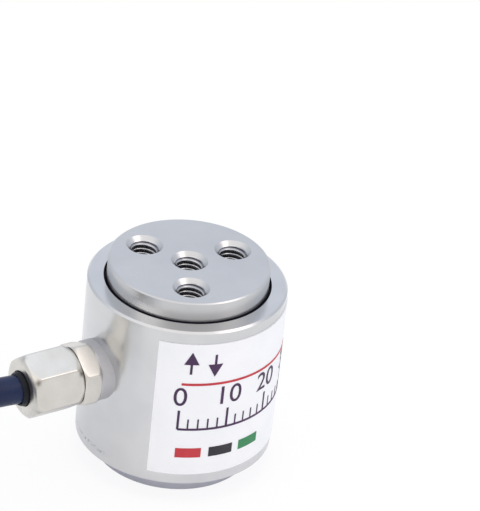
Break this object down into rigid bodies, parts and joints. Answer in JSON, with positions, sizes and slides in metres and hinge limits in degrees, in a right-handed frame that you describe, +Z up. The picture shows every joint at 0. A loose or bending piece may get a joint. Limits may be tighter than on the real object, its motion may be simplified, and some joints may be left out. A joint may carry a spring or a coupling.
{
  "type": "miniature load cell",
  "caption": "Miniature cylindrical load cell with tapped loading disc and base, sleeve housing, side cable gland and a cable stored as a tied hank.",
  "frame": {"origin": "centre of the base land's underside, on the load axis", "axes": "+Z up along the load axis to the loading disc; the cable gland points along -X"},
  "size_m": [0.1283, 0.0324, 0.0221],
  "materials": {
    "stainless_turned": "fine turned, satin",
    "stainless_sleeve": "fine turned, satin",
    "nickel_plate": "satin nickel plate on brass",
    "brass_washer": "plain",
    "black_rubber": "matte",
    "label_film": "matte white film",
    "gauge_film": "amber film",
    "circuit_board": "green solder mask",
    "chip_resistor": "black glaze",
    "tinned_copper": "tinned",
    "insulation_red": "soft PVC",
    "insulation_black": "soft PVC",
    "insulation_green": "soft PVC",
    "insulation_white": "soft PVC",
    "cable_jacket": "soft dark jacket with a low sheen",
    "tie_nylon": "moulded",
    "shrink_sleeve": "shrunk, satin"
  },
  "bodies": {
    "root": {"spring_element": "stainless_turned", "housing_sleeve": "stainless_sleeve", "cable_boss": "stainless_sleeve", "gap_seal": "black_rubber", "cable_seal": "black_rubber", "gland_ring": "black_rubber", "thrust_washer": "brass_washer", "gland_body": "nickel_plate", "gland_nut": "nickel_plate", "label": "label_film", "strain_gauge_1": "gauge_film", "strain_gauge_2": "gauge_film", "strain_gauge_3": "gauge_film", "strain_gauge_4": "gauge_film", "bridge_wires": "tinned_copper", "terminal_board": "circuit_board", "zero_resistor": "chip_resistor", "span_resistor": "chip_resistor", "temperature_resistor": "chip_resistor", "conductor_red": "insulation_red", "conductor_black": "insulation_black", "conductor_green": "insulation_green", "conductor_white": "insulation_white", "cable_entry": "cable_jacket", "cable": "cable_jacket", "cable_hank": "cable_jacket", "cable_tail": "cable_jacket", "cable_tie": "tie_nylon", "end_sleeve": "shrink_sleeve", "lead_red": "insulation_red", "lead_black": "insulation_black", "lead_green": "insulation_green", "lead_white": "insulation_white", "lead_tips": "tinned_copper"}
  },
  "joints": []
}
